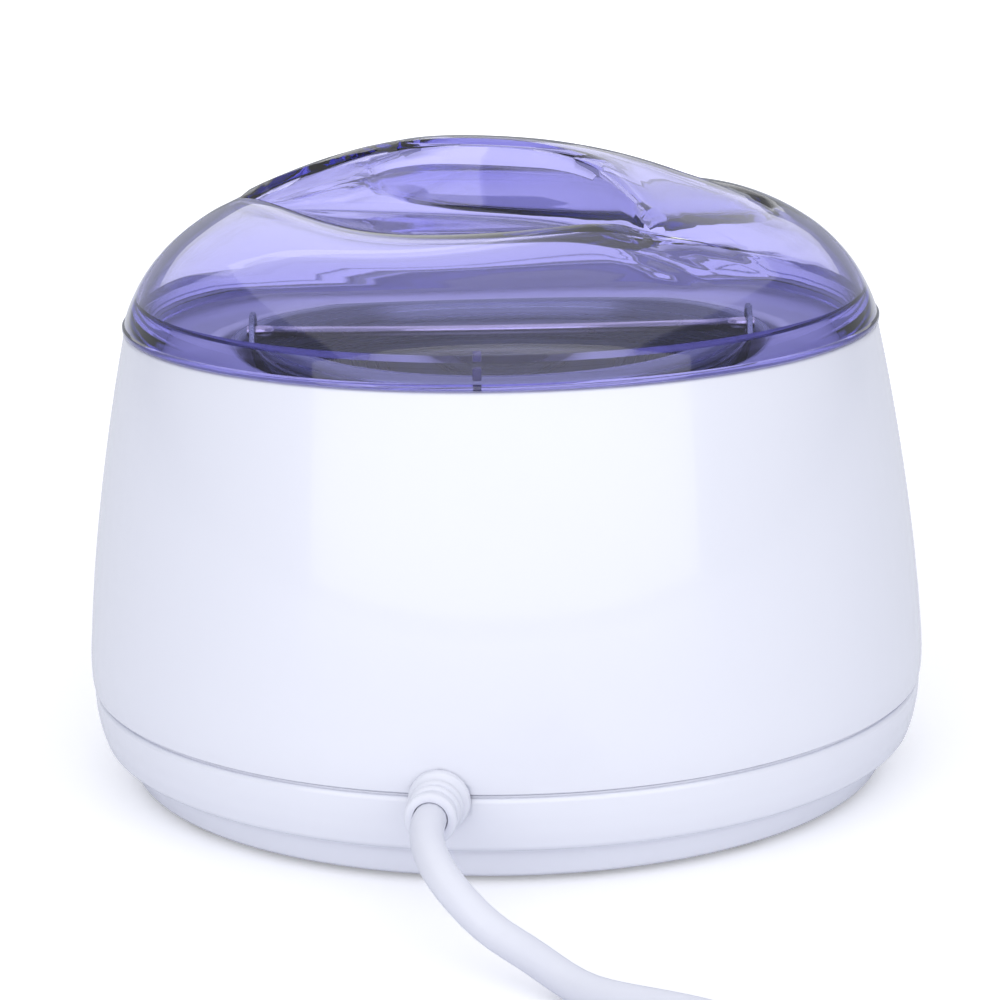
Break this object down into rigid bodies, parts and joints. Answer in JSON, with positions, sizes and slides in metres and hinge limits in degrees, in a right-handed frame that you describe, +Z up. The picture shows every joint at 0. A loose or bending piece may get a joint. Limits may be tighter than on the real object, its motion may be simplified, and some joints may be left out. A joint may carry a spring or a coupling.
{
  "type": "wax warmer",
  "caption": "Round salon wax warmer with a heated well, a lift-out pot with a bail, a clear purple lid with finger scoops, a knob and a mains cord.",
  "frame": {"origin": "on the table under the middle of the body", "axes": "+Z up, +Y towards the cord, -Y towards the knob, +X to the right when facing the cord side from the front"},
  "size_m": [0.1855, 0.361, 0.1349],
  "materials": {
    "white_gloss": "high gloss cool white",
    "clear_purple": "polished, transparent violet blue",
    "aluminium": "spun, satin",
    "bright_steel": "bright",
    "heater_steel": "heat-stained",
    "insulation": "fibre felt",
    "ivory_plastic": "satin",
    "black_plastic": "satin",
    "knob_white": "semi-gloss",
    "red_lens": "clear red",
    "lamp_glass": "clear",
    "fuse_case": "satin",
    "brass": "plain",
    "cord_white": "satin",
    "red_wire": "satin",
    "white_wire": "satin",
    "grey_rubber": "matte"
  },
  "bodies": {
    "housing": {"base_cover": "white_gloss", "base_screw_1": "bright_steel", "base_screw_2": "bright_steel", "base_screw_3": "bright_steel", "base_screw_4": "bright_steel", "body_shell": "white_gloss", "clamp_screw_1": "bright_steel", "clamp_screw_2": "bright_steel", "cord_clamp": "ivory_plastic", "cord_tie": "black_plastic", "foot_1": "grey_rubber", "foot_2": "grey_rubber", "foot_3": "grey_rubber", "foot_4": "grey_rubber", "fuse_clip": "bright_steel", "heater_band": "heater_steel", "heater_clamp_bolt": "bright_steel", "heater_wire": "white_wire", "heating_well": "aluminium", "indicator_lamp": "lamp_glass", "indicator_lens": "red_lens", "inner_cord": "cord_white", "insulation_sleeve": "insulation", "plug_body": "cord_white", "plug_pin_1": "brass", "plug_pin_2": "brass", "power_cord_coil": "cord_white", "power_cord_run": "cord_white", "power_cord_tail": "cord_white", "strain_relief": "cord_white", "supply_wire_live": "red_wire", "supply_wire_neutral": "white_wire", "terminal_block": "ivory_plastic", "thermal_fuse": "fuse_case", "thermostat_body": "black_plastic", "thermostat_nut": "bright_steel", "thermostat_wire": "red_wire", "well_screw_1": "bright_steel", "well_screw_2": "bright_steel", "well_screw_3": "bright_steel"},
    "pot": {"wax_pot": "aluminium", "pot_ear_left": "aluminium", "pot_ear_right": "aluminium", "ear_rivet_left": "bright_steel", "ear_rivet_right": "bright_steel"},
    "lid": {"lid": "clear_purple"},
    "bail": {"bail_handle": "bright_steel"},
    "knob": {"control_knob": "knob_white", "thermostat_shaft": "bright_steel"}
  },
  "joints": [
    {"name": "pot_lift", "type": "slide", "parent": "housing", "child": "pot", "axis": [0, 0, 1], "range_m": [0, 0.12]},
    {"name": "lid_lift", "type": "slide", "parent": "pot", "child": "lid", "axis": [0, 0, 1], "range_m": [0, 0.15]},
    {"name": "bail_swing", "type": "hinge", "parent": "pot", "child": "bail", "pos_m": [0, 0, 0.0946], "axis": [-0.9893, -0.1461, 0], "range_deg": [0, 100.6]},
    {"name": "knob_turn", "type": "hinge", "parent": "housing", "child": "knob", "pos_m": [0, -0.0879, 0.046], "axis": [0, -0.9928, 0.1197], "range_deg": [0, 290]}
  ],
  "couplings": [
    {"joint": "bail_swing", "follows": "lid_lift", "rad_per_m": 11.69}
  ]
}
